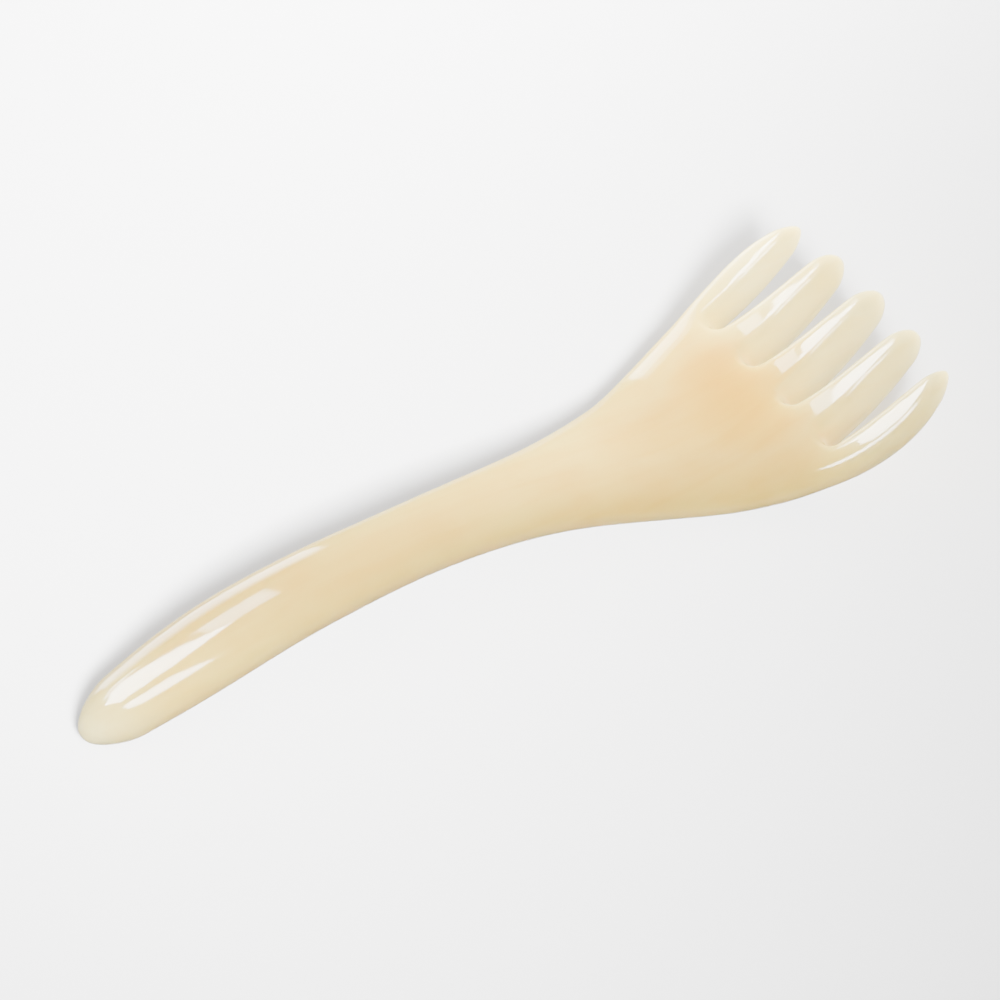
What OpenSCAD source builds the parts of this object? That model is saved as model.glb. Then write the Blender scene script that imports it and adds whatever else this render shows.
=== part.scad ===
// Rake comb: one moulded body with a rounded handle, a narrow neck, a palm that
// widens and turns up, and a row of five tapering teeth.
// Frame in millimetres: +X from the handle end to the tooth tips, +Y across,
// +Z up. The comb rests on z = 0 and the origin is under the middle of its box.

/* [Overall] */
// length measured along the bent middle line, handle end to middle tooth tip
comb_len = 184; // [172:0.5:198]

/* [Handle] */
// widest place of the grip
grip_w = 18.2; // [15:0.1:22]
// width at the neck, where the handle is narrowest
neck_w = 17.1; // [14:0.1:20]
// thickness of the handle
grip_t = 10.3; // [8:0.1:12]
// length over which the handle end closes to a round
butt_round = 10; // [7:0.5:14]

/* [Palm] */
// widest place of the comb, over the outer teeth
head_w = 59; // [57:0.1:63]
// thickest place of the palm, behind the slots
palm_t = 12.6; // [10:0.1:14]
// how square the palm edge is: 2 is an ellipse, more is squarer
palm_square = 5; // [3:0.1:7]
// share by which the palm and teeth are thinner at the sides than in the middle
palm_crown = 0.44; // [0:0.02:0.5]
// how far the outer teeth stand higher than the middle one, like a cupped hand
palm_cup = 1.6; // [0:0.1:3]

/* [Teeth] */
// free length of the middle tooth, from slot root to tip
tooth_len = 29; // [26:0.5:33]
// distance between the middles of two teeth
tooth_pitch = 13; // [12.4:0.1:13.4]
// radius of the round slot root
slot_r = 1.7; // [1.2:0.1:2]
// angle by which each side of a slot leans away from its middle
slot_lean = 4.4; // [3:0.1:5]
// distance from a slot or an outline over which the surface rounds up
edge_round = 2.5; // [2:0.1:4]
// thickness a tooth would have at its tip before the tip is rounded
tip_t = 7.6; // [6:0.1:8.4]
// length over which a tooth tip closes to a round
tip_round = 5; // [3:0.5:7]
// how far the tips next to the middle one stand back
tip_back_inner = 0.5; // [0:0.1:2]
// how far the outer tips stand back
tip_back_outer = 1.9; // [0:0.1:4]

/* [Bend] */
// slope of the middle line at the handle end, in degrees
butt_slope = 16.5; // [12:0.5:20]
// slope of the dip between handle and palm, in degrees
dip_slope = 10.2; // [7:0.1:12]
// slope of the middle line at the tooth tips, in degrees
tip_slope = 33.3; // [28:0.1:40]
// depth to which the underside is eased flat where the comb lies on a table
rest_flat = 0.15; // [0.1:0.05:0.3]

/* [Hidden] */

teeth = 5;
outer = (teeth - 1) / 2;
half_head = head_w / 2;
slot_root = comb_len - tooth_len;

// The comb from end to end. Widths and thicknesses are full ones; the slope is
// that of the middle line in degrees, up towards the tips being positive.
AT = 0;
WIDE = 1;
THICK = 2;
SLOPE = 3;
PROFILE = [
    // share of length, width, thickness, slope
    [0.000, 0.57 * grip_w, 0.88 * grip_t, 0.94 * butt_slope],
    [0.055, 0.81 * grip_w, 0.95 * grip_t, butt_slope],
    [0.150, grip_w, grip_t, 0.79 * butt_slope],
    [0.275, (grip_w + neck_w) / 2, grip_t, 4.2],
    [0.410, neck_w, 0.97 * grip_t, -2.2],
    [0.545, 1.25 * neck_w, 0.965 * grip_t, -0.9 * dip_slope],
    [0.655, 0.54 * head_w, 0.86 * palm_t, -dip_slope],
    [0.735, 0.738 * head_w, 0.905 * palm_t, 0.6],
    [0.805, 0.888 * head_w, palm_t, 9.6],
    [0.870, 0.984 * head_w, 0.9 * palm_t, 21],
    [0.935, head_w, 0.84 * palm_t, 0.967 * tip_slope],
    [1.000, 0.885 * head_w, tip_t, tip_slope],
];

function unit(t) = max(0, min(1, t));
function ease(t) = unit(t) ^ 2 * (3 - 2 * unit(t));

// Smooth cubic through the rows of PROFILE.
last_row = len(PROFILE) - 1;
function tangent(col, i) =
    let (lo = max(i - 1, 0), hi = min(i + 1, last_row))
    (PROFILE[hi][col] - PROFILE[lo][col]) / (PROFILE[hi][AT] - PROFILE[lo][AT]);
function row_at(share, i = 0) =
    i == last_row - 1 || share < PROFILE[i + 1][AT] ? i : row_at(share, i + 1);
function along(col, u) =
    let (
        share = unit(u / comb_len),
        i = row_at(share),
        p = PROFILE[i],
        q = PROFILE[i + 1],
        h = q[AT] - p[AT],
        t = (share - p[AT]) / h
    )
    (1 + 2 * t) * (1 - t) ^ 2 * p[col] + t * (1 - t) ^ 2 * h * tangent(col, i)
        + t ^ 2 * (3 - 2 * t) * q[col] + t ^ 2 * (t - 1) * h * tangent(col, i + 1);

function half_wide(u) = along(WIDE, u) / 2;
function half_thick(u) = along(THICK, u) / 2;
function slope(u) = along(SLOPE, u);

// Middle line seen from the side, added up in short steps.
spine_steps = 184;
spine_step = comb_len / spine_steps;
spine = [
    for (
        i = 0, x = 0, z = 0;
        i <= spine_steps;
        x = x + spine_step * cos(slope((i + 0.5) * spine_step)),
        z = z + spine_step * sin(slope((i + 0.5) * spine_step)),
        i = i + 1
    ) [i * spine_step, x, z]
];
spine_x = [for (s = spine) [s[0], s[1]]];
spine_z = [for (s = spine) [s[0], s[2]]];

// Shape of the cross-section: an ellipse at the handle, fuller at the palm.
section_run = 27;
handle_square = 2.2;
tooth_full = 0.46;
function fullness(u) = ease(1 + (u - slot_root) / section_run);
function square(u) = handle_square + (palm_square - handle_square) * fullness(u);
function section_power(u) = 0.5 + (tooth_full - 0.5) * fullness(u);

// The palm is thinner at its sides, and its sides stand higher.
cup_run = 50;
function thin(u, v) = 1 - palm_crown * fullness(u) * (v / half_head) ^ 2;
function lift(u, v) = palm_cup * ease(1 + (u - slot_root) / cup_run) * (v / half_head) ^ 2;

// Flat layout of the teeth. Tooth numbers run from -outer to outer, and a slot
// lies at each half number between them.
function tip_at(i) = comb_len - [0, tip_back_inner, tip_back_outer][abs(i)];

// Half the width of a slot, and the distance of a place from its edge; y is
// counted from the middle of the slot.
function past_root(u) = u - slot_root - slot_r;
function half_slot(u) =
    let (s = past_root(u))
    s < -slot_r * sin(slot_lean)
        ? sqrt(max(0, slot_r ^ 2 - s ^ 2))
        : (slot_r + s * sin(slot_lean)) / cos(slot_lean);
function slot_gap(u, y) =
    let (s = past_root(u), on_root = s * cos(slot_lean) + abs(y) * sin(slot_lean) < 0)
    (on_root ? norm([s, y]) : abs(y) * cos(slot_lean) - s * sin(slot_lean)) - slot_r;

// How far the surface has risen at a distance from an edge, from 0 to 1.
function rise(gap) = 1 - (1 - unit(gap / edge_round)) ^ 2;
function slot_rise(u, v, slot) = abs(slot) > outer ? 1 : rise(slot_gap(u, v - slot * tooth_pitch));

// Share of the palm outline in the section: 1 on the palm, 0 out on the teeth.
blend_before = 8;
blend_after = 12;
function palm_share(u) = 1 - ease((u - slot_root + blend_before) / (blend_before + blend_after));

function butt_fall(u) = unit(1 - u / butt_round) ^ 2;
function tip_fall(u, i) = unit((u - tip_at(i)) / tip_round + 1) ^ 2;

// Thickness rule: the surface lies at half_thick * level ^ power, and the
// outline is where the level is 0. v is the place across, i the tooth number.
function level(u, v, i) =
    let (
        share = palm_share(u),
        edge = share * (abs(v) / half_wide(u)) ^ square(u),
        outline = (1 - share) * (1 - rise(half_wide(u) - abs(v)))
    )
    max(0, (1 - edge - outline) * slot_rise(u, v, i - 0.5) * slot_rise(u, v, i + 0.5));
function body_level(u, v) =
    max(0, level(u, v, max(-outer, min(outer, round(v / tooth_pitch)))) - butt_fall(u));

// One point of the surface; side is 1 on top, -1 underneath, 0 on the outline.
function place(u, v, side, lev) =
    let (
        a = slope(u),
        h = lift(u, v) + side * half_thick(u) * thin(u, v) * lev ^ section_power(u)
    )
    [lookup(u, spine_x) - h * sin(a), v, lookup(u, spine_z) + h * cos(a)];

// Lanes across the comb: even round the handle section, tooth by tooth at the
// slot roots, and easing from one to the other on the palm.
lanes = 8;
across = teeth * lanes;
lane_run = 35;
lane_settle = 4;
function cosine_step(k, n) = (1 - cos(180 * k / n)) / 2;
function tooth_lane(k) =
    let (
        i = min(floor(k / lanes), teeth - 1) - outer,
        edge = half_wide(slot_root),
        low = i == -outer ? -edge : (i - 0.5) * tooth_pitch,
        high = i == outer ? edge : (i + 0.5) * tooth_pitch
    )
    (low + (high - low) * cosine_step(k - (i + outer) * lanes, lanes)) / edge;
function lane(k, u) =
    let (w = ease(1 + (u - slot_root + lane_settle) / lane_run))
    (1 - w) * (2 * cosine_step(k, across) - 1) + w * tooth_lane(k);
function body_v(k, u) = lane(k, u) * half_wide(u) * (1 - butt_fall(u)) ^ (1 / square(u));

// Stations from the handle end to the slot roots, closer together at both.
butt_rows = 9;
grip_rows = 27;
rim_rows = 8;
rim_at = slot_root - 1.6 * edge_round;
body_rows = [
    for (k = [1 : butt_rows]) butt_round * (1 - cos(90 * k / butt_rows)),
    for (k = [1 : grip_rows]) butt_round + (rim_at - butt_round) * k / grip_rows,
    for (k = [1 : rim_rows]) rim_at + (slot_root - rim_at) * sin(90 * k / rim_rows),
];
last_body = len(body_rows) - 1;

function body_point(r, k, side) =
    let (
        u = body_rows[r],
        v = body_v(k, u),
        seam = k == 0 || k == across || (r == last_body && k % lanes == 0)
    )
    seam ? place(u, v, 0, 0) : place(u, v, side, body_level(u, v));

// Top points of a row first, then the underneath ones. On the last body row the
// points at the slot roots are shared by top and underneath.
body_points = [
    for (r = [0 : last_body]) each [
        for (k = [0 : across]) body_point(r, k, 1),
        for (k = [1 : across - 1])
            if (r < last_body || k % lanes != 0) body_point(r, k, -1),
    ],
];
function body_id(r, k, top) =
    let (start = 1 + 2 * across * r)
    top || k == 0 || k == across ? start + k
        : r < last_body ? start + across + k
        : k % lanes == 0 ? start + k
        : start + across + k - floor(k / lanes);

// Stations of one tooth, closer together near the root and at the tip.
shaft_rows = 11;
nose_rows = 7;
root_crowd = 1.6;
tooth_rows = shaft_rows + nose_rows;
function tooth_u(i, r) =
    let (nose = tip_at(i) - tip_round)
    r < shaft_rows
        ? slot_root + (nose - slot_root) * ((r + 1) / shaft_rows) ^ root_crowd
        : nose + tip_round * sin(90 * (r + 1 - shaft_rows) / (nose_rows + 1));

// Edges of a tooth before its tip is rounded; the tip then draws every section
// in towards its middle.
function low_v(i, u) = i == -outer ? -half_wide(u) : (i - 0.5) * tooth_pitch + half_slot(u);
function high_v(i, u) = i == outer ? half_wide(u) : (i + 0.5) * tooth_pitch - half_slot(u);
function mid_v(i, u) = (low_v(i, u) + high_v(i, u)) / 2;
function tooth_point(i, r, k, side) =
    let (
        u = tooth_u(i, r),
        mid = mid_v(i, u),
        full = low_v(i, u) + (high_v(i, u) - low_v(i, u)) * cosine_step(k, lanes),
        left = 1 - tip_fall(u, i),
        v = mid + (full - mid) * sqrt(left)
    )
    k == 0 || k == lanes ? place(u, v, 0, 0) : place(u, v, side, level(u, full, i) * left);
function tooth_points(i) = [
    for (r = [0 : tooth_rows - 1]) each [
        for (k = [0 : lanes]) tooth_point(i, r, k, 1),
        for (k = [1 : lanes - 1]) tooth_point(i, r, k, -1),
    ],
    place(tip_at(i), mid_v(i, tip_at(i)), 0, 0),
];

tooth_first = 1 + 2 * across * len(body_rows) - (teeth - 1);
tooth_count = 2 * lanes * tooth_rows + 1;
function tooth_id(i, r, k, top) =
    let (start = tooth_first + (i + outer) * tooth_count + 2 * lanes * r)
    r < 0 ? body_id(last_body, (i + outer) * lanes + k, top)
        : top || k == 0 || k == lanes ? start + k : start + lanes + k;
function tip_id(i) = tooth_first + (i + outer + 1) * tooth_count - 1;

// Four corners as two triangles; the diagonal is mirrored across the middle.
function patch(a, b, c, d, top, left) =
    let (q = top ? [a, b, c, d] : [b, a, d, c])
    left ? [[q[0], q[1], q[2]], [q[0], q[2], q[3]]] : [[q[1], q[2], q[3]], [q[1], q[3], q[0]]];

body_faces = [
    for (top = [true, false], k = [0 : across - 1])
        let (a = body_id(0, k, top), b = body_id(0, k + 1, top)) top ? [0, b, a] : [0, a, b],
    for (r = [0 : last_body - 1], top = [true, false], k = [0 : across - 1])
        each patch(
            body_id(r, k, top), body_id(r, k + 1, top),
            body_id(r + 1, k + 1, top), body_id(r + 1, k, top),
            top, (k < across / 2) == top
        ),
];
tooth_faces = [
    for (i = [-outer : outer], top = [true, false], k = [0 : lanes - 1]) each [
        for (r = [-1 : tooth_rows - 2])
            each patch(
                tooth_id(i, r, k, top), tooth_id(i, r, k + 1, top),
                tooth_id(i, r + 1, k + 1, top), tooth_id(i, r + 1, k, top),
                top, (i < 0 || (i == 0 && k < lanes / 2)) == top
            ),
        let (
            a = tooth_id(i, tooth_rows - 1, k, top),
            b = tooth_id(i, tooth_rows - 1, k + 1, top)
        ) top ? [a, b, tip_id(i)] : [b, a, tip_id(i)],
    ],
];

flat_points = [place(0, 0, 0, 0), each body_points, for (i = [-outer : outer]) each tooth_points(i)];

// The comb lies on the underside of the handle end and of the palm: it is
// turned about Y until both are equally low, then moved over the origin.
under = [for (u = [1 : 1 : slot_root - 1]) place(u, 0, -1, body_level(u, 0))];
function turned(p, a) = [p[0] * cos(a) - p[2] * sin(a), p[1], p[0] * sin(a) + p[2] * cos(a)];
function lowest(points) =
    let (low = min([for (p = points) p[2]])) [for (p = points) if (p[2] == low) p][0];
function rest_turn(a, rounds) =
    rounds == 0 ? a
        : let (
            points = [for (p = under) turned(p, a)],
            half = comb_len / 2,
            butt = lowest([for (p = points) if (p[0] < half) p]),
            palm = lowest([for (p = points) if (p[0] >= half) p])
        )
        rest_turn(a - atan2(palm[2] - butt[2], palm[0] - butt[0]), rounds - 1);
rest_angle = rest_turn(0, 3);
rest_points = [for (p = flat_points) turned(p, rest_angle)];
min_x = min([for (p = rest_points) p[0]]);
max_x = max([for (p = rest_points) p[0]]);
min_z = min([for (p = rest_points) p[2]]) + rest_flat;
comb_points = [for (p = rest_points) [p[0] - (min_x + max_x) / 2, p[1], max(0, p[2] - min_z)]];

module comb() {
    color("#E9DDBF")
    polyhedron(points = comb_points, faces = concat(body_faces, tooth_faces), convexity = 8);
}

comb();
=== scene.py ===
# %% [markdown]
# # Rake comb
#
# The object is a hand-held rake comb in one piece of polished, ivory-coloured
# resin: a rounded handle, a narrow neck, a palm that widens and turns up, and
# five strong tapering teeth with slots between them. It lies on a table with its
# teeth curving upwards.
#
# This lesson dresses the fixed CAD frame with a finer skin. The order is the
# frame, the sizes, the rule of the shape, a flat blank, the bend, the resin, and
# at the end the table, the light and the camera.

import math

import bpy
import numpy as np
from mathutils import Matrix, Vector


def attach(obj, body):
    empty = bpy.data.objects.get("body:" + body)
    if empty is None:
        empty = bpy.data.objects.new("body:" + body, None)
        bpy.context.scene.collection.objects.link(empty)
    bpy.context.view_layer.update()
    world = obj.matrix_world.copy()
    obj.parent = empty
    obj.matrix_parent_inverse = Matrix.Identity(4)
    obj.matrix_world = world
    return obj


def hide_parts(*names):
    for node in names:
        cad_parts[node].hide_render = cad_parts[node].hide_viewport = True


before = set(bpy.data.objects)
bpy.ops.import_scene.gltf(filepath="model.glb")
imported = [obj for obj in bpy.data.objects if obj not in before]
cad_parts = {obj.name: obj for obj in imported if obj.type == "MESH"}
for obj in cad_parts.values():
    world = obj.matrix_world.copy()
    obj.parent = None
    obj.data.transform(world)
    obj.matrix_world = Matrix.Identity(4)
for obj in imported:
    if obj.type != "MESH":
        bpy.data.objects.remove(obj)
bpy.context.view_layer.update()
MM = 0.001

# %% [markdown]
# ## The sizes
#
# The skin follows the same rule as the solid, so its sizes are the same ones. All
# numbers up to the blank are in millimetres, because that is how a comb is
# measured, and they become metres in one place. The profile says, at shares of
# the length, how wide and thick the comb is and how steeply its middle line runs.
# It could be a lofted set of sketches, but a table keeps every size in view.

# %% The sizes of the comb
COMB_LEN, TOOTH_LEN = 184.0, 29.0
SLOT_ROOT = COMB_LEN - TOOTH_LEN
GRIP_W, NECK_W, HEAD_W = 18.2, 17.1, 59.0
GRIP_T, PALM_T, TIP_T = 10.3, 12.6, 7.6
BUTT_SLOPE, DIP_SLOPE, TIP_SLOPE = 16.5, 10.2, 33.3
HALF_HEAD = HEAD_W / 2

AT, WIDE, THICK, SLOPE = 0, 1, 2, 3
PROFILE = np.array([
    # share of length, width, thickness, slope of the middle line in degrees
    [0.000, 0.57 * GRIP_W, 0.88 * GRIP_T, 0.94 * BUTT_SLOPE],
    [0.055, 0.81 * GRIP_W, 0.95 * GRIP_T, BUTT_SLOPE],
    [0.150, GRIP_W, GRIP_T, 0.79 * BUTT_SLOPE],
    [0.275, (GRIP_W + NECK_W) / 2, GRIP_T, 4.2],
    [0.410, NECK_W, 0.97 * GRIP_T, -2.2],
    [0.545, 1.25 * NECK_W, 0.965 * GRIP_T, -0.9 * DIP_SLOPE],
    [0.655, 0.54 * HEAD_W, 0.86 * PALM_T, -DIP_SLOPE],
    [0.735, 0.738 * HEAD_W, 0.905 * PALM_T, 0.6],
    [0.805, 0.888 * HEAD_W, PALM_T, 9.6],
    [0.870, 0.984 * HEAD_W, 0.9 * PALM_T, 21],
    [0.935, HEAD_W, 0.84 * PALM_T, 0.967 * TIP_SLOPE],
    [1.000, 0.885 * HEAD_W, TIP_T, TIP_SLOPE],
])
print(f"{COMB_LEN:.0f} mm along the bend, slots start at {SLOT_ROOT:.1f} mm")

# %% [markdown]
# ## Smooth curves through the profile
#
# Straight lines between the rows of the table would leave a kink at every row,
# and polish shows a kink at once. A cubic that passes through each row with the
# slope of its neighbours gives the continuous lines of a hand-finished moulding.

# %% Curves through the profile


def ease(t):
    """Smooth step from 0 to 1."""
    t = np.clip(t, 0, 1)
    return t * t * (3 - 2 * t)


def along(column, u):
    """Value of a column of the profile, u mm from the handle end."""
    x, y = PROFILE[:, AT], PROFILE[:, column]
    slope = np.gradient(y, x)
    slope[1:-1] = (y[2:] - y[:-2]) / (x[2:] - x[:-2])
    share = np.clip(np.asarray(u, float) / COMB_LEN, 0, 1)
    i = np.clip(np.searchsorted(x, share, side="right") - 1, 0, len(x) - 2)
    h = x[i + 1] - x[i]
    t = (share - x[i]) / h
    return ((1 + 2 * t) * (1 - t) ** 2 * y[i] + t * (1 - t) ** 2 * h * slope[i]
            + t ** 2 * (3 - 2 * t) * y[i + 1] + t ** 2 * (t - 1) * h * slope[i + 1])


def half_wide(u):
    return along(WIDE, u) / 2


def half_thick(u):
    return along(THICK, u) / 2


for place, u in (("grip", 0.15 * COMB_LEN), ("neck", 0.41 * COMB_LEN), ("slot roots", SLOT_ROOT)):
    print(f"{place}: {2 * half_wide(u):.1f} mm wide, {2 * half_thick(u):.1f} mm thick")

# %% [markdown]
# ## Teeth and slots
#
# On the real comb each slot is a long cut with a round root, a little wider at
# the tips, and its rim is rounded over by a few millimetres of polishing. Cutting
# the slots with a Boolean would leave sharp rims that a bevel can't follow round
# the roots. So the rule measures how far a place is from the nearest slot, and
# lets the surface rise over that distance, the same on a flank as round a root.

# %% Distance to a slot, and the rise of the surface beside it
OUTER = 2
TOOTH_PITCH, SLOT_R, SLOT_LEAN = 13.0, 1.7, math.radians(4.4)
EDGE_ROUND = 2.5


def half_slot(u):
    """Half the width of a slot, 0 at its root."""
    s = u - SLOT_ROOT - SLOT_R
    round_part = np.sqrt(np.maximum(0, SLOT_R ** 2 - s ** 2))
    flank_part = (SLOT_R + s * math.sin(SLOT_LEAN)) / math.cos(SLOT_LEAN)
    return np.where(s < -SLOT_R * math.sin(SLOT_LEAN), round_part, flank_part)


def slot_gap(u, y):
    """Distance from the edge of a slot; y is counted from its middle."""
    s = u - SLOT_ROOT - SLOT_R
    y = np.abs(y)
    beside_root = s * math.cos(SLOT_LEAN) + y * math.sin(SLOT_LEAN) < 0
    flank_gap = y * math.cos(SLOT_LEAN) - s * math.sin(SLOT_LEAN)
    return np.where(beside_root, np.hypot(s, y), flank_gap) - SLOT_R


def rise(gap):
    """How far the surface has risen at a distance from an edge, 0 to 1."""
    return 1 - (1 - np.clip(gap / EDGE_ROUND, 0, 1)) ** 2


def slot_rise(u, v, slot):
    return np.where(np.abs(slot) > OUTER, 1, rise(slot_gap(u, v - slot * TOOTH_PITCH)))


for place, u in (("near its root", SLOT_ROOT + 5), ("at the tips", COMB_LEN)):
    print(f"slot {2 * half_slot(u):.1f} mm wide {place}")

# %% [markdown]
# ## One level for the whole comb
#
# Handle, palm and teeth run into each other without a seam, so they share one
# rule. The level is 1 where the comb has its full thickness and 0 on the outline.
# Across the handle and palm it falls all the way from the middle to the sides. On
# the teeth it falls only over the rounded rim, as beside a slot, and the two ways
# are blended over the slot roots. The handle end and each tip close by letting
# the level fall away.

# %% The level, and how the ends close
SECTION_RUN, HANDLE_SQUARE, PALM_SQUARE = 27.0, 2.2, 5.0
HANDLE_FULL, TOOTH_FULL = 0.5, 0.46
BLEND_BEFORE, BLEND_AFTER = 8.0, 12.0
BUTT_ROUND, TIP_ROUND = 10.0, 5.0
TIP_BACK = (0.0, 0.5, 1.9)


def square(u):
    """Power of the section: 2 gives an ellipse, more is squarer."""
    return HANDLE_SQUARE + (PALM_SQUARE - HANDLE_SQUARE) * ease(1 + (u - SLOT_ROOT) / SECTION_RUN)


def level(u, v, tooth):
    """Level u mm along and v mm across; the tooth says which two slots lie beside it."""
    palm = 1 - ease((u - SLOT_ROOT + BLEND_BEFORE) / (BLEND_BEFORE + BLEND_AFTER))
    edge = palm * (np.abs(v) / half_wide(u)) ** square(u)
    outline = (1 - palm) * (1 - rise(half_wide(u) - np.abs(v)))
    beside = slot_rise(u, v, tooth - 0.5) * slot_rise(u, v, tooth + 0.5)
    return np.maximum(0, (1 - edge - outline) * beside)


def butt_fall(u):
    return np.clip(1 - u / BUTT_ROUND, 0, 1) ** 2


def body_level(u, v):
    nearest = np.clip(np.round(v / TOOTH_PITCH), -OUTER, OUTER)
    return np.maximum(0, level(u, v, nearest) - butt_fall(u))


def tip_at(tooth):
    return COMB_LEN - TIP_BACK[abs(tooth)]


def tip_fall(u, tooth):
    return np.clip((u - tip_at(tooth)) / TIP_ROUND + 1, 0, 1) ** 2


palm_levels = body_level(SLOT_ROOT - 4, np.arange(0, HALF_HEAD, TOOTH_PITCH / 2))
print("level from the middle of the palm to its side:", np.round(palm_levels, 2))

# %% [markdown]
# ## The flat blank
#
# A real comb of this kind starts as a flat blank with its outline cut. The blank
# here is a sheet of two layers, top and underneath, that meet at the outline. It
# is laid out in rows, each a closed ring of lanes. The lanes crowd towards every
# outline, where the surface turns fastest, and each tooth goes on from its own
# share of the last row. Every point carries its level, its side and the half
# thickness of its row, and the nodes further on make the body from them.

# %% Collect points and faces
LANES = 18
ACROSS = (2 * OUTER + 1) * LANES
LANE_RUN, LANE_SETTLE = 35.0, 4.0


def cosine_steps(n):
    """n + 1 places from 0 to 1, crowded at both ends."""
    return (1 - np.cos(np.pi * np.arange(n + 1) / n)) / 2


class Blank:
    """The flat blank: points with what they carry, and the faces between rings."""

    def __init__(self):
        self.points, self.faces = [], []
        self.carried = {"level": [], "side": [], "half_thickness": []}

    def point(self, u, v, side, lev):
        self.points.append((float(u) * MM, float(v) * MM, 0.0))
        self.carried["level"].append(float(lev))
        self.carried["side"].append(float(side))
        self.carried["half_thickness"].append(float(half_thick(u)) * MM)
        return len(self.points) - 1

    def ring(self, u, v, lev, shared):
        """Top and underneath points of one row; a shared one is a single point."""
        top = [self.point(u, a, 0 if s else 1, 0 if s else b) for a, b, s in zip(v, lev, shared)]
        under = [t if s else self.point(u, a, -1, b) for t, a, b, s in zip(top, v, lev, shared)]
        return top, under

    def join(self, one, two):
        for k in range(len(one[0]) - 1):
            self.faces.append((one[0][k], two[0][k], two[0][k + 1], one[0][k + 1]))
            self.faces.append((one[1][k], one[1][k + 1], two[1][k + 1], two[1][k]))

    def close(self, ring, tip, end):
        for k in range(len(ring[0]) - 1):
            top, under = (ring[0][k], tip, ring[0][k + 1]), (ring[1][k + 1], tip, ring[1][k])
            self.faces += [top, under] if end else [top[::-1], under[::-1]]


print(ACROSS, "lanes across, top and underneath")

# %% [markdown]
# ## Handle and palm of the blank
#
# The rows stand close together at the handle end and at the slot roots, where the
# outline turns, and evenly between. The lanes run evenly round the handle and
# gather tooth by tooth on the palm, so that no face has to twist.

# %% Lay out the handle and palm


def body_lanes(u):
    """Places across the comb as shares of its half width."""
    edge = float(half_wide(SLOT_ROOT))
    ends = [-edge] + [(i - 0.5) * TOOTH_PITCH for i in range(-OUTER + 1, OUTER + 1)] + [edge]
    by_tooth = [lo + (hi - lo) * cosine_steps(LANES)[:-1] for lo, hi in zip(ends, ends[1:])]
    by_tooth = np.append(np.concatenate(by_tooth), edge) / edge
    w = ease(1 + (u - SLOT_ROOT + LANE_SETTLE) / LANE_RUN)
    return (1 - w) * (2 * cosine_steps(ACROSS) - 1) + w * by_tooth


BUTT_ROWS, GRIP_ROWS, RIM_ROWS = 24, 130, 36
RIM_REACH = 1.6
rim_at = SLOT_ROOT - RIM_REACH * EDGE_ROUND
body_rows = np.concatenate([
    BUTT_ROUND * (1 - np.cos(np.pi / 2 * np.arange(1, BUTT_ROWS + 1) / BUTT_ROWS)),
    np.linspace(BUTT_ROUND, rim_at, GRIP_ROWS + 1)[1:],
    rim_at + (SLOT_ROOT - rim_at) * np.sin(np.pi / 2 * np.arange(1, RIM_ROWS + 1) / RIM_ROWS),
])

blank = Blank()
butt = blank.point(0, 0, 0, 0)
ring = None
for u in body_rows:
    v = body_lanes(u) * half_wide(u) * (1 - butt_fall(u)) ** (1 / square(u))
    shared = [k in (0, ACROSS) or (u == body_rows[-1] and k % LANES == 0) for k in range(ACROSS + 1)]
    new = blank.ring(u, v, body_level(u, v), shared)
    if ring:
        blank.join(ring, new)
    else:
        blank.close(new, butt, end=False)
    ring = new
print(len(body_rows), "rows from the handle end to the slot roots")

# %% [markdown]
# ## The teeth of the blank
#
# Between its two slots a tooth is laid out at its full width. Near the tip every
# section is then drawn in towards its own middle, as when a tip is rounded on a
# buffing wheel, and the tooth closes in one point.

# %% Lay out the teeth
SHAFT_ROWS, NOSE_ROWS, ROOT_CROWD = 44, 18, 1.6

for tooth in range(-OUTER, OUTER + 1):
    nose = tip_at(tooth) - TIP_ROUND
    rows = np.concatenate([
        SLOT_ROOT + (nose - SLOT_ROOT) * (np.arange(1, SHAFT_ROWS + 1) / SHAFT_ROWS) ** ROOT_CROWD,
        nose + TIP_ROUND * np.sin(np.pi / 2 * np.arange(1, NOSE_ROWS + 1) / (NOSE_ROWS + 1)),
    ])
    first = (tooth + OUTER) * LANES
    last = tuple(layer[first:first + LANES + 1] for layer in ring)
    for u in np.append(rows, tip_at(tooth)):
        low = -half_wide(u) if tooth == -OUTER else (tooth - 0.5) * TOOTH_PITCH + half_slot(u)
        high = half_wide(u) if tooth == OUTER else (tooth + 0.5) * TOOTH_PITCH - half_slot(u)
        if u == tip_at(tooth):
            blank.close(last, blank.point(u, (low + high) / 2, 0, 0), end=True)
            break
        left = 1 - tip_fall(u, tooth)
        full = low + (high - low) * cosine_steps(LANES)
        v = (low + high) / 2 + (full - (low + high) / 2) * np.sqrt(left)
        new = blank.ring(u, v, level(u, full, tooth) * left, [k in (0, LANES) for k in range(LANES + 1)])
        blank.join(last, new)
        last = new
print(len(blank.points), "points and", len(blank.faces), "faces in the blank")

# %% The blank as a mesh that carries its values
blank_mesh = bpy.data.meshes.new("comb_blank")
blank_mesh.from_pydata(blank.points, [], blank.faces)
for name, values in blank.carried.items():
    blank_mesh.attributes.new(name, "FLOAT", "POINT").data.foreach_set("value", values)
blank_mesh.polygons.foreach_set("use_smooth", [True] * len(blank_mesh.polygons))
blank_piece = bpy.data.objects.new("comb_blank", blank_mesh)
bpy.context.scene.collection.objects.link(blank_piece)
print("the blank carries", ", ".join(blank.carried))

# %% [markdown]
# ## The former
#
# A horn or resin comb is cut flat, warmed, and bent over a wooden former. The
# former here is a curve: the middle line as seen from the side. Short steps of
# a quarter of a millimetre keep its facets far below what polish would show.

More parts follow.
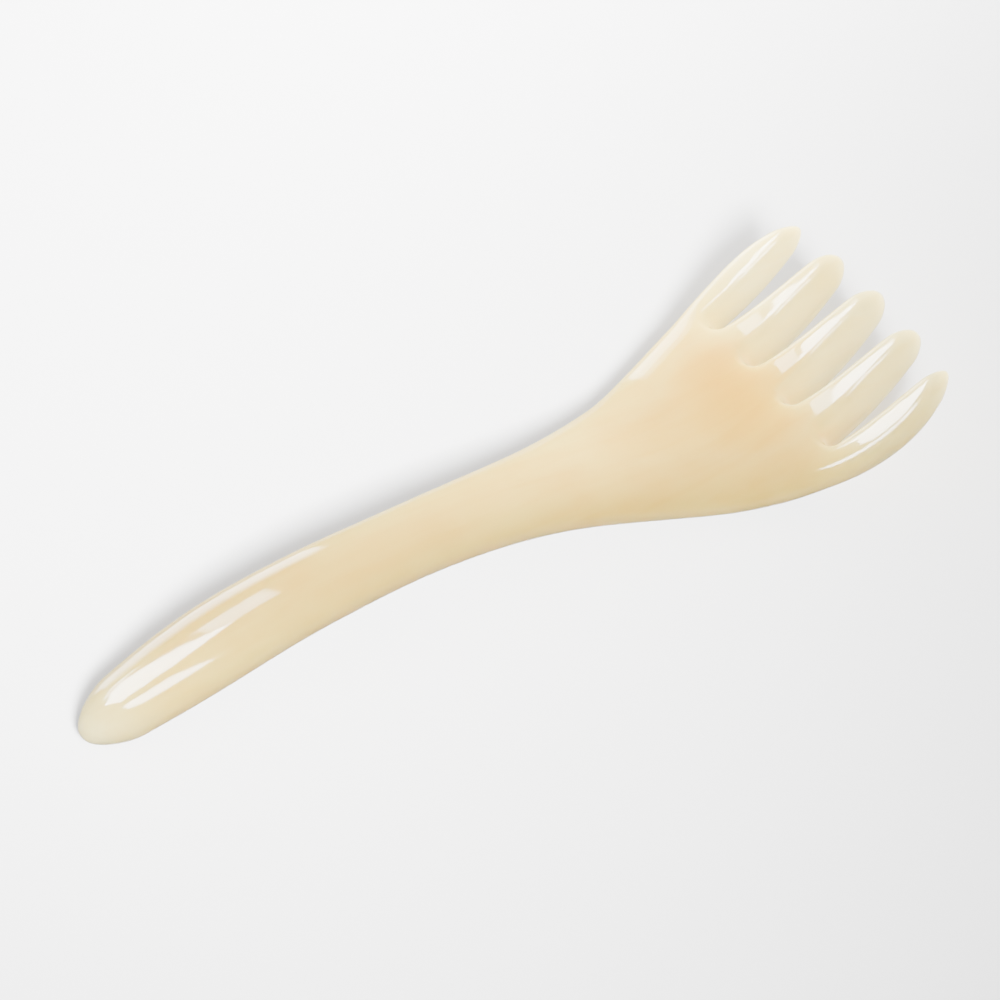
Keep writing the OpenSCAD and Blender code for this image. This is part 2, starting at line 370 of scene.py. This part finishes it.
# %% Build the former from the slopes of the profile
FORMER_STEP = 0.25
steps = int(round(COMB_LEN / FORMER_STEP))
step_slopes = np.radians(along(SLOPE, (np.arange(steps) + 0.5) * FORMER_STEP))
former_x = np.concatenate([[0], np.cumsum(np.cos(step_slopes)) * FORMER_STEP])
former_z = np.concatenate([[0], np.cumsum(np.sin(step_slopes)) * FORMER_STEP])

former_curve = bpy.data.curves.new("former", "CURVE")
former_curve.dimensions = "3D"
line = former_curve.splines.new("POLY")
line.points.add(steps)
line.points.foreach_set("co", np.stack([
    former_x * MM, 0 * former_x, former_z * MM, 0 * former_x + 1], -1).ravel())
former = bpy.data.objects.new("former", former_curve)
bpy.context.scene.collection.objects.link(former)
print(f"the former is {former_x[-1]:.1f} mm long and rises to {former_z[-1]:.1f} mm")

# %% [markdown]
# ## The angle of rest
#
# The comb touches the table under its handle end and under its palm. It is
# turned until both places are equally low. Only the middle line of the underside
# is needed for that, so it is worked out here before any mesh is bent.

# %% Find the angle of rest
under_u = np.arange(1, SLOT_ROOT)
under_power = HANDLE_FULL + (TOOTH_FULL - HANDLE_FULL) * ease(1 + (under_u - SLOT_ROOT) / SECTION_RUN)
under_h = -half_thick(under_u) * body_level(under_u, 0 * under_u) ** under_power
under_a = np.radians(along(SLOPE, under_u))
former_u = np.arange(steps + 1) * FORMER_STEP
under_x = np.interp(under_u, former_u, former_x) - under_h * np.sin(under_a)
under_z = np.interp(under_u, former_u, former_z) + under_h * np.cos(under_a)

REST_ROUNDS = 4
rest_turn = 0.0
for _ in range(REST_ROUNDS):
    x = under_x * math.cos(rest_turn) - under_z * math.sin(rest_turn)
    z = under_x * math.sin(rest_turn) + under_z * math.cos(rest_turn)
    at_butt = np.argmin(np.where(x < COMB_LEN / 2, z, np.inf))
    at_palm = np.argmin(np.where(x >= COMB_LEN / 2, z, np.inf))
    rest_turn -= math.atan2(z[at_palm] - z[at_butt], x[at_palm] - x[at_butt])
print(f"turned by {math.degrees(rest_turn):.2f} degrees to rest")

# %% [markdown]
# ## A helper for nodes
#
# Both the bend and the resin are built from nodes. One small function adds a
# node, sets its fields, and gives each input a value or a socket to read from.

# %% Add a node with its settings and links


def add_node(tree, kind, inputs=None, **settings):
    node = tree.nodes.new(kind)
    node.location.x = 190 * len(tree.nodes)
    for name, value in settings.items():
        setattr(node, name, value)
    for key, value in (inputs or {}).items():
        if isinstance(value, bpy.types.NodeSocket):
            tree.links.new(value, node.inputs[key])
        else:
            node.inputs[key].default_value = value
    return node


print("one helper adds every node")

# %% [markdown]
# ## Swelling and bending the blank
#
# The shape follows a rule, so Geometry Nodes carry it out, and each size of the
# rule is a named input. The steps are the maker's own. The two layers swell to
# their thickness, thinner at the sides of the palm. The sides are lifted a
# little, like a cupped hand. Sample Curve bends the blank over the former: each
# point goes to the place on the curve that is as far along, and stands off by
# its own height. The comb is turned to rest, moved over the origin, and pressed
# flat by a fraction of a millimetre where it lies on the table.

# %% The tree and its named inputs
PALM_CROWN, PALM_CUP, CUP_RUN, REST_FLAT = 0.44, 1.6, 50.0, 0.15
bending = bpy.data.node_groups.new("swell and bend the blank", "GeometryNodeTree")
SIZES = {
    "Slot Root": SLOT_ROOT * MM, "Half Head": HALF_HEAD * MM, "Section Run": SECTION_RUN * MM,
    "Palm Crown": PALM_CROWN, "Tooth Fullness": TOOTH_FULL, "Palm Cup": PALM_CUP * MM,
    "Cup Run": CUP_RUN * MM, "Rest Turn": -rest_turn, "Rest Flat": REST_FLAT * MM,
}
bending.interface.new_socket("Blank", in_out="INPUT", socket_type="NodeSocketGeometry")
bending.interface.new_socket("Former", in_out="INPUT", socket_type="NodeSocketObject")
bending.interface.new_socket("Resin", in_out="INPUT", socket_type="NodeSocketMaterial")
for name in SIZES:
    bending.interface.new_socket(name, in_out="INPUT", socket_type="NodeSocketFloat")
bending.interface.new_socket("Comb", in_out="OUTPUT", socket_type="NodeSocketGeometry")
given = add_node(bending, "NodeGroupInput").outputs
print("named inputs:", ", ".join(SIZES))

# %% Swell: half thickness x crown x level to a power
place_now = add_node(bending, "GeometryNodeInputPosition").outputs[0]
here = add_node(bending, "ShaderNodeSeparateXYZ", {0: place_now})
u_here, v_here = here.outputs["X"], here.outputs["Y"]
carried = {}
for name in blank.carried:
    reader = add_node(bending, "GeometryNodeInputNamedAttribute", {"Name": name}, data_type="FLOAT")
    carried[name] = reader.outputs[0]
section_start = add_node(bending, "ShaderNodeMath", {
    0: given["Slot Root"], 1: given["Section Run"]}, operation="SUBTRACT")
fullness = add_node(bending, "ShaderNodeMapRange", {
    "Value": u_here, "From Min": section_start.outputs[0], "From Max": given["Slot Root"]},
    interpolation_type="SMOOTHSTEP").outputs["Result"]
out_share = add_node(bending, "ShaderNodeMath", {0: v_here, 1: given["Half Head"]}, operation="DIVIDE")
side_square = add_node(bending, "ShaderNodeMath", {0: out_share.outputs[0], 1: 2.0}, operation="POWER")
crown = add_node(bending, "ShaderNodeMath", {0: given["Palm Crown"], 1: fullness}, operation="MULTIPLY")
thinner = add_node(bending, "ShaderNodeMath", {
    0: crown.outputs[0], 1: side_square.outputs[0]}, operation="MULTIPLY")
thin = add_node(bending, "ShaderNodeMath", {0: 1.0, 1: thinner.outputs[0]}, operation="SUBTRACT")
power = add_node(bending, "ShaderNodeMapRange", {
    "Value": fullness, "To Min": HANDLE_FULL, "To Max": given["Tooth Fullness"]})
swell = add_node(bending, "ShaderNodeMath", {
    0: carried["level"], 1: power.outputs["Result"]}, operation="POWER")
stand = add_node(bending, "ShaderNodeMath", {0: swell.outputs[0], 1: thin.outputs[0]}, operation="MULTIPLY")
half = add_node(bending, "ShaderNodeMath", {
    0: stand.outputs[0], 1: carried["half_thickness"]}, operation="MULTIPLY")
off = add_node(bending, "ShaderNodeMath", {0: half.outputs[0], 1: carried["side"]}, operation="MULTIPLY")
print("the swelling reads", ", ".join(carried))

# %% Cup: lift the sides of the palm and teeth
cup_start = add_node(bending, "ShaderNodeMath", {
    0: given["Slot Root"], 1: given["Cup Run"]}, operation="SUBTRACT")
cupping = add_node(bending, "ShaderNodeMapRange", {
    "Value": u_here, "From Min": cup_start.outputs[0], "From Max": given["Slot Root"],
    "To Max": given["Palm Cup"]}, interpolation_type="SMOOTHSTEP")
height = add_node(bending, "ShaderNodeMath", {
    0: cupping.outputs["Result"], 1: side_square.outputs[0], 2: off.outputs[0]}, operation="MULTIPLY_ADD")
print(f"the sides of the head are lifted by up to {PALM_CUP} mm")

# %% Bend: place on the former, plus the offset square to it
former_in = add_node(bending, "GeometryNodeObjectInfo", {"Object": given["Former"]})
on_former = add_node(bending, "GeometryNodeSampleCurve", {
    "Curves": former_in.outputs["Geometry"], "Length": u_here}, mode="LENGTH")
square_to = add_node(bending, "ShaderNodeVectorMath", {
    0: on_former.outputs["Tangent"], 1: (0.0, 1.0, 0.0)}, operation="CROSS_PRODUCT")
stood_off = add_node(bending, "ShaderNodeVectorMath", {
    0: square_to.outputs[0], "Scale": height.outputs[0]}, operation="SCALE")
across = add_node(bending, "ShaderNodeCombineXYZ", {"Y": v_here})
bent = add_node(bending, "ShaderNodeVectorMath", {
    0: stood_off.outputs[0], 1: on_former.outputs["Position"]}, operation="ADD")
bent_across = add_node(bending, "ShaderNodeVectorMath", {
    0: bent.outputs[0], 1: across.outputs[0]}, operation="ADD")
thickness = add_node(bending, "GeometryNodeStoreNamedAttribute", {
    "Geometry": given["Blank"], "Name": "half_height", "Value": half.outputs[0]},
    data_type="FLOAT", domain="POINT")
bowed = add_node(bending, "GeometryNodeSetPosition", {
    "Geometry": thickness.outputs[0], "Position": bent_across.outputs[0]})
print(len(bending.nodes), "nodes so far; the thickness is kept as half_height for the tint")

# %% Rest: turn, centre over the origin and press flat
turn_about = add_node(bending, "ShaderNodeCombineXYZ", {"Y": given["Rest Turn"]})
turned = add_node(bending, "GeometryNodeTransform", {
    "Geometry": bowed.outputs[0], "Rotation": turn_about.outputs[0]})
box = add_node(bending, "GeometryNodeBoundBox", {"Geometry": turned.outputs[0]})
low = add_node(bending, "ShaderNodeSeparateXYZ", {0: box.outputs["Min"]})
high = add_node(bending, "ShaderNodeSeparateXYZ", {0: box.outputs["Max"]})
both = add_node(bending, "ShaderNodeMath", {0: low.outputs["X"], 1: high.outputs["X"]}, operation="ADD")
middle = add_node(bending, "ShaderNodeMath", {0: both.outputs[0], 1: 0.5}, operation="MULTIPLY")
table = add_node(bending, "ShaderNodeMath", {0: low.outputs["Z"], 1: given["Rest Flat"]}, operation="ADD")
origin = add_node(bending, "ShaderNodeCombineXYZ", {"X": middle.outputs[0], "Z": table.outputs[0]})
turned_place = add_node(bending, "GeometryNodeInputPosition").outputs[0]
moved = add_node(bending, "ShaderNodeVectorMath", {
    0: turned_place, 1: origin.outputs[0]}, operation="SUBTRACT")
pressed = add_node(bending, "ShaderNodeVectorMath", {
    0: moved.outputs[0], 1: (-1.0, -1.0, 0.0)}, operation="MAXIMUM")
rested = add_node(bending, "GeometryNodeSetPosition", {
    "Geometry": turned.outputs[0], "Position": pressed.outputs[0]})
real = add_node(bending, "GeometryNodeRealizeInstances", {"Geometry": rested.outputs[0]})
finished = add_node(bending, "GeometryNodeSetMaterial", {
    "Geometry": real.outputs[0], "Material": given["Resin"]})
add_node(bending, "NodeGroupOutput", {"Comb": finished.outputs[0]})
print(len(bending.nodes), "nodes bend the blank")

# %% [markdown]
# ## The resin
#
# The comb is cast polyester resin, coloured as ivory and polished on a wheel.
# That gives the eye three things: light that sinks in and comes back warmer, a
# pigment that isn't quite even, and a clear gloss. A flat cream colour has none
# of these and looks like painted metal. The resin could be a volume inside a
# glass shell, which is true to it but slow and noisy, so subsurface scattering
# stands in for the volume.
#
# Colours are sRGB values, turned to linear by one function. Patterns are sized in
# millimetres of the real comb.

# %% Colours and a noise scale


def hex_linear(code):
    """sRGB hex to the linear values that shaders want."""
    channels = [int(code[i:i + 2], 16) / 255 for i in (1, 3, 5)]
    return tuple(c / 12.92 if c <= 0.04045 else ((c + 0.055) / 1.055) ** 2.4 for c in channels) + (1.0,)


def per_mm(size):
    """Noise scale whose patches are about size mm wide."""
    return 1 / (size * MM)


WHITE = "#FFFFFF"
# The first colour is a painted glow for the slim ends; the last is honey, partly thick resin's own colour and
# partly painted warm glow.
PAINTED_GLOW, IVORY, HONEY_AND_GLOW = "#F4F2EE", "#F0DBA6", "#ECCB62"
print("ivory in linear light:", [round(c, 2) for c in hex_linear(IVORY)[:3]])

# %% The resin, still without a pattern
resin = bpy.data.materials.new("cast polyester resin, polished ivory")
resin.use_nodes = True
tree = resin.node_tree
shader = tree.nodes["Principled BSDF"]
surface = add_node(tree, "ShaderNodeTexCoord").outputs["Object"]
print(resin.name)

# %% [markdown]
# ## Ivory, with painted glow and honey
#
# All between the ends and the palm is ivory. At the teeth and at the handle end
# the ivory is painted paler, a painted glow for light that comes through the slim
# resin. The thick core of the palm is painted honey: partly the deeper colour of
# thick resin, partly a painted warm glow. The shader can't measure depth, so the
# ends follow the place along the comb, and the honey the half height of the bend.

# %% Painted glow at the ends, ivory, honey and painted warm glow in the palm
# How far from the middle the painted glow of the ends begins and where it is full.
GLOW_CENTRE, GLOW_FROM, GLOW_FULL, GLOW_REST = -8, 62, 84, 0.1
# Half heights over which the honey comes in, partly the colour of thick resin and partly painted warm glow.
HONEY_AND_GLOW_FROM, HONEY_AND_GLOW_FULL = 5.2, 6.4

along_comb = add_node(tree, "ShaderNodeSeparateXYZ", {0: surface})
from_centre = add_node(tree, "ShaderNodeMath", {
    0: along_comb.outputs["X"], 1: GLOW_CENTRE * MM}, operation="SUBTRACT")
outwards = add_node(tree, "ShaderNodeMath", {0: from_centre.outputs[0]}, operation="ABSOLUTE")
to_ivory = add_node(tree, "ShaderNodeMapRange", {
    "Value": outwards.outputs[0], "From Min": GLOW_FROM * MM, "From Max": GLOW_FULL * MM,
    "To Min": 1.0, "To Max": GLOW_REST}, interpolation_type="SMOOTHSTEP")
# Painted glow: towards the teeth and the handle end the ivory is mixed with the pale glow colour.
ivory = add_node(tree, "ShaderNodeMix", {
    "Factor": to_ivory.outputs["Result"], 6: hex_linear(PAINTED_GLOW), 7: hex_linear(IVORY)}, data_type="RGBA")
half_height = add_node(tree, "ShaderNodeAttribute", attribute_name="half_height").outputs["Fac"]
to_honey_and_glow = add_node(tree, "ShaderNodeMapRange", {
    "Value": half_height, "From Min": HONEY_AND_GLOW_FROM * MM, "From Max": HONEY_AND_GLOW_FULL * MM})
# Honey in the thick palm: partly its own deeper colour, partly a painted warm glow.
glow_and_tint = add_node(tree, "ShaderNodeMix", {
    "Factor": to_honey_and_glow.outputs["Result"], 6: ivory.outputs[2], 7: hex_linear(HONEY_AND_GLOW)}, data_type="RGBA")
print(f"pale from {GLOW_FROM} mm off the centre, honey from {HONEY_AND_GLOW_FROM} mm of half height")

# %% [markdown]
# ## The pigment
#
# The pigment is stirred in by hand, so it stays a little cloudy, and the pour
# draws it out along the comb. Both are very faint on the real thing: the eye only
# notices when they are missing. Clouds are 16 mm wide, streaks 3 mm wide and 40 mm
# long. Where both are strongest they take a tenth off the red and three tenths
# off the blue.

# %% Clouds and streaks
CLOUD, STREAK_WIDE, STREAK_LONG = 16, 3, 40
CLOUDY, STREAKY = "#F7F2E8", "#FBF7F0"

clouds = add_node(tree, "ShaderNodeTexNoise", {
    "Vector": surface, "Scale": per_mm(CLOUD), "Detail": 3.0, "Roughness": 0.45})
cloud_share = add_node(tree, "ShaderNodeMapRange", {
    "Value": clouds.outputs["Fac"], "From Min": 0.35, "From Max": 0.68})
clouded = add_node(tree, "ShaderNodeMix", {
    "Factor": cloud_share.outputs["Result"], 6: hex_linear(WHITE), 7: hex_linear(CLOUDY)}, data_type="RGBA")
drawn = add_node(tree, "ShaderNodeMapping", {
    "Vector": surface, "Scale": (STREAK_WIDE / STREAK_LONG, 1.0, 1.0)})
streaks = add_node(tree, "ShaderNodeTexNoise", {
    "Vector": drawn.outputs[0], "Scale": per_mm(STREAK_WIDE), "Detail": 2.0, "Distortion": 0.4})
streak_share = add_node(tree, "ShaderNodeMapRange", {
    "Value": streaks.outputs["Fac"], "From Min": 0.4, "From Max": 0.7})
streaked = add_node(tree, "ShaderNodeMix", {
    "Factor": streak_share.outputs["Result"], 6: hex_linear(WHITE), 7: hex_linear(STREAKY)}, data_type="RGBA")
pigment = add_node(tree, "ShaderNodeMix", {
    "Factor": 1.0, 6: clouded.outputs[2], 7: streaked.outputs[2]}, data_type="RGBA", blend_type="MULTIPLY")
coloured = add_node(tree, "ShaderNodeMix", {
    "Factor": 1.0, 6: glow_and_tint.outputs[2], 7: pigment.outputs[2]}, data_type="RGBA", blend_type="MULTIPLY")
tree.links.new(coloured.outputs[2], shader.inputs["Base Color"])
print(f"clouds {CLOUD} mm, streaks {STREAK_WIDE} x {STREAK_LONG} mm")

# %% [markdown]
# ## The polish and the depth
#
# A buffing wheel leaves a clear gloss that varies over patches of about 9 mm, and
# a surface that wavers by about a hundredth of a millimetre every 6 mm, which
# bends the edges of the highlights. Polyester has an index of refraction of about
# 1.54. Light travels about 14 mm in the resin, red the furthest and blue the least,
# so shadows on the comb are soft and warm.

# %% Gloss, waver and scattering
WHEEL, WAVER, WAVER_DEEP = 9, 6, 0.05
DEPTH, DEPTH_BY_COLOUR = 14, (1.0, 0.9, 0.65)

wheel = add_node(tree, "ShaderNodeTexNoise", {
    "Vector": surface, "Scale": per_mm(WHEEL), "Detail": 4.0, "Roughness": 0.6})
gloss = add_node(tree, "ShaderNodeMapRange", {
    "Value": wheel.outputs["Fac"], "From Min": 0.3, "From Max": 0.7, "To Min": 0.05, "To Max": 0.09})
tree.links.new(gloss.outputs["Result"], shader.inputs["Roughness"])
waver = add_node(tree, "ShaderNodeTexNoise", {"Vector": surface, "Scale": per_mm(WAVER), "Detail": 1.0})
bump = add_node(tree, "ShaderNodeBump", {
    "Height": waver.outputs["Fac"], "Strength": 0.35, "Distance": WAVER_DEEP * MM})
tree.links.new(bump.outputs["Normal"], shader.inputs["Normal"])

shader.inputs["IOR"].default_value = 1.54
shader.inputs["Subsurface Weight"].default_value = 1.0
shader.inputs["Subsurface Radius"].default_value = DEPTH_BY_COLOUR
shader.inputs["Subsurface Scale"].default_value = DEPTH * MM
print(resin.name, "with", len(tree.nodes), "nodes")

# %% [markdown]
# ## The comb
#
# The modifier gets its inputs before Blender evaluates the piece for the first
# time. The result is then taken as a plain mesh that needs no former any more.

# %% Bend the blank and keep the result
bender = blank_piece.modifiers.new("bend", "NODES")
bender.node_group = bending
for socket in bending.interface.items_tree:
    if socket.in_out == "INPUT" and socket.name != "Blank":
        bender[socket.identifier] = {"Former": former, "Resin": resin}.get(socket.name) or SIZES[socket.name]

depsgraph = bpy.context.evaluated_depsgraph_get()
comb_mesh = bpy.data.meshes.new_from_object(blank_piece.evaluated_get(depsgraph))
comb_mesh.name = "comb_skin"
comb = bpy.data.objects.new("comb_skin", comb_mesh)
bpy.context.scene.collection.objects.link(comb)
bpy.data.objects.remove(blank_piece)
bpy.data.objects.remove(former)

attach(comb, "root")
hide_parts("comb")
print(len(comb_mesh.vertices), "points,", sum(len(p.vertices) - 2 for p in comb_mesh.polygons), "triangles")

# %% [markdown]
# ## The table
#
# The comb lies on a sheet of matt white card. Card shows no highlight, so the
# shadow is all that the eye finds on it. It sends no light back into the comb,
# which would pale the ivory from below. The pale world behind the card's edge is
# seen by the camera only. It could light the scene as well, but light from all
# sides would take the shape out of the teeth.

# %% Matt white card and the world behind it
CARD_SIZE = 3.0
bpy.ops.mesh.primitive_plane_add(size=CARD_SIZE, location=(0, 0, 0))
card = bpy.context.object
card.name = "card"
card.visible_diffuse = False
paper = bpy.data.materials.new("matt white card")
paper.use_nodes = True
paper_shader = paper.node_tree.nodes["Principled BSDF"]
paper_shader.inputs["Base Color"].default_value = hex_linear("#F1F1F1")
paper_shader.inputs["Roughness"].default_value = 0.95
paper_shader.inputs["Specular IOR Level"].default_value = 0.1
card.data.materials.append(paper)

tent = bpy.data.worlds.new("photo tent")
bpy.context.scene.world = tent
tent.use_nodes = True
tent.node_tree.nodes["Background"].inputs["Color"].default_value = hex_linear("#F7F8FA")
tent.node_tree.nodes["Background"].inputs["Strength"].default_value = 8
tent.cycles_visibility.diffuse = False
tent.cycles_visibility.glossy = False
print(f"a card of {CARD_SIZE:.0f} m, and a world that only the camera sees")

# %% [markdown]
# ## Lamps for one thing each
#
# Blender shows a picture through a view that pales bright colours. A lamp strong
# enough to make the card nearly white would turn ivory to white as well. Light
# linking solves that: a lamp lights only what it is given, so the card and the
# comb each have lamps of their own. No lamp is seen by the camera.
#
# Polish needs lamps of a second kind, boards that are only mirrored. How bright a
# highlight is and how bright the resin beside it is can then be chosen apart. A
# board's strength is given as its brightness, because that is what a mirror shows.

# %% A soft box and a mirrored board


def soft_box(name, azimuth, elevation, size, power, colour, on, distance=1.0, aim=(0, 0), spread=180,
             mirrored=False, shadow_of=None):
    """A rectangular lamp. Azimuth 0 is behind the comb, 90 at its teeth; aim is in mm on the table."""
    data = bpy.data.lights.new(name, "AREA")
    data.shape = "RECTANGLE"
    data.size, data.size_y = size
    data.energy = power
    data.color = hex_linear(colour)[:3]
    data.spread = math.radians(spread)
    lamp = bpy.data.objects.new(name, data)
    az, el = math.radians(azimuth), math.radians(elevation)
    towards = Vector((math.sin(az) * math.cos(el), math.cos(az) * math.cos(el), math.sin(el)))
    lamp.location = towards * distance
    lamp.rotation_euler = (Vector((*aim, 0)) * MM - lamp.location).to_track_quat("-Z", "Y").to_euler()
    lamp.visible_diffuse, lamp.visible_glossy, lamp.visible_camera = not mirrored, mirrored, False
    lit = bpy.data.collections.new(name + " lights")
    lit.objects.link(on)
    lamp.light_linking.receiver_collection = lit
    if shadow_of:
        blocking = bpy.data.collections.new(name + " shadows")
        blocking.objects.link(shadow_of)
        lamp.light_linking.blocker_collection = blocking
    bpy.context.scene.collection.objects.link(lamp)
    return lamp


def board(name, azimuth, elevation, size, brightness):
    """A white board, 1 m away, that only the polish mirrors."""
    power = brightness * math.pi * size[0] * size[1]
    return soft_box(name, azimuth, elevation, size, power, WHITE, comb, mirrored=True)


print("two kinds of lamp, one that lights and one that is mirrored")

# %% [markdown]
# ## Light on the card
#
# One narrow lamp from the front left makes the soft shadow behind the comb. A
# wash lightens the far right, and a wide roof keeps the card pale out to its edge.
# Wash and roof cast no shadow of the comb, or it would have three.

# %% Three lamps for the card
card_lamps = [
    soft_box("table key", -163, 40, (0.22, 0.22), 6.8, WHITE, card, aim=(-4, 300), spread=34),
    soft_box("table wash", 36, 30, (0.3, 0.3), 1.5, WHITE, card, distance=0.36, aim=(183, 248), spread=91,
             shadow_of=card),
    soft_box("tent roof", 0, 90, (4.0, 4.0), 100, WHITE, card, distance=1.6, shadow_of=card),
]
print("on the card:", ", ".join(lamp.name for lamp in card_lamps))

# %% [markdown]
# ## Light in the comb
#
# These lamps are warm. What they stand for is light that has already come through
# the resin and taken its colour, which makes the teeth glow. The strong one
# lies low beyond the tips, so the teeth are lit from end to end. The others stand
# closer and fill the handle and the palm.

# %% Four warm lamps for the comb
WARM = "#FFEC9A"
comb_lamps = [
    soft_box("low side box", 85, 8, (0.6, 0.2), 64, WARM, comb),
    soft_box("front box", -140, 25, (0.3, 0.3), 3.9, WARM, comb, distance=0.4),
    soft_box("near box", 35, 30, (0.08, 0.08), 1.0, WARM, comb, distance=0.14),
    soft_box("left box", -100, 35, (0.1, 0.1), 1.1, WARM, comb, distance=0.25),
]
print("on the comb:", ", ".join(lamp.name for lamp in comb_lamps))

# %% [markdown]
# ## Boards in the polish
#
# Each board stands where a certain part of the comb mirrors. The window makes the
# long lens of light on top of every tooth, and the sill a line beside it. The
# roof board fills the hollows round the slot roots. The walls, low behind the comb,
# edge the handle and the far side. The high board at the side is mirrored in
# the outer tooth.

# %% Six boards
boards = [
    board("window", -35, 53.5, (0.40, 0.40), 74),
    board("window sill", -27, 38, (0.30, 0.03), 80),
    board("roof board", -3, 54, (0.20, 0.26), 28),
    board("back wall", -2, 10, (0.56, 0.50), 12),
    board("high back wall", -2, 16, (0.56, 0.50), 8),
    board("high side board", -110, 68, (0.34, 0.22), 66),
]
print("in the polish:", ", ".join(lamp.name for lamp in boards))

# %% [markdown]
# ## The camera
#
# The camera looks from the front left and from half above, at the angle at which
# the outline of the comb falls on that of the photograph. The lens is long, so
# the far teeth are hardly smaller than the near ones.

# %% Camera at the photograph's angle
AZIMUTH, ELEVATION, ROLL = (math.radians(a) for a in (-29.34, 45.49, -3.01))
DISTANCE, PX_PER_MM, PICTURE = 0.8, 5.26, 1000
MIDDLE_X, MIDDLE_Y = 497.03, 522.15
SENSOR = 36
aim = Vector((0.48, 0, 8)) * MM

back = Vector((math.sin(AZIMUTH) * math.cos(ELEVATION), -math.cos(AZIMUTH) * math.cos(ELEVATION),
               math.sin(ELEVATION)))
right = Vector((math.cos(AZIMUTH), math.sin(AZIMUTH), 0))
up = back.cross(right)
camera_x = right * math.cos(ROLL) + up * math.sin(ROLL)
camera_y = up * math.cos(ROLL) - right * math.sin(ROLL)
camera = bpy.data.objects.new("camera", bpy.data.cameras.new("camera"))
bpy.context.scene.collection.objects.link(camera)
bpy.context.scene.camera = camera
camera.matrix_world = (Matrix.Translation(aim + back * DISTANCE)
                       @ Matrix((camera_x, camera_y, back)).transposed().to_4x4())
camera.data.sensor_width = SENSOR
camera.data.lens = PX_PER_MM / MM * DISTANCE * SENSOR / PICTURE
camera.data.shift_x = (PICTURE / 2 - MIDDLE_X) / PICTURE
camera.data.shift_y = (MIDDLE_Y - PICTURE / 2) / PICTURE
camera.data.clip_start, camera.data.clip_end = 0.05, 20
print(f"lens {camera.data.lens:.0f} mm")
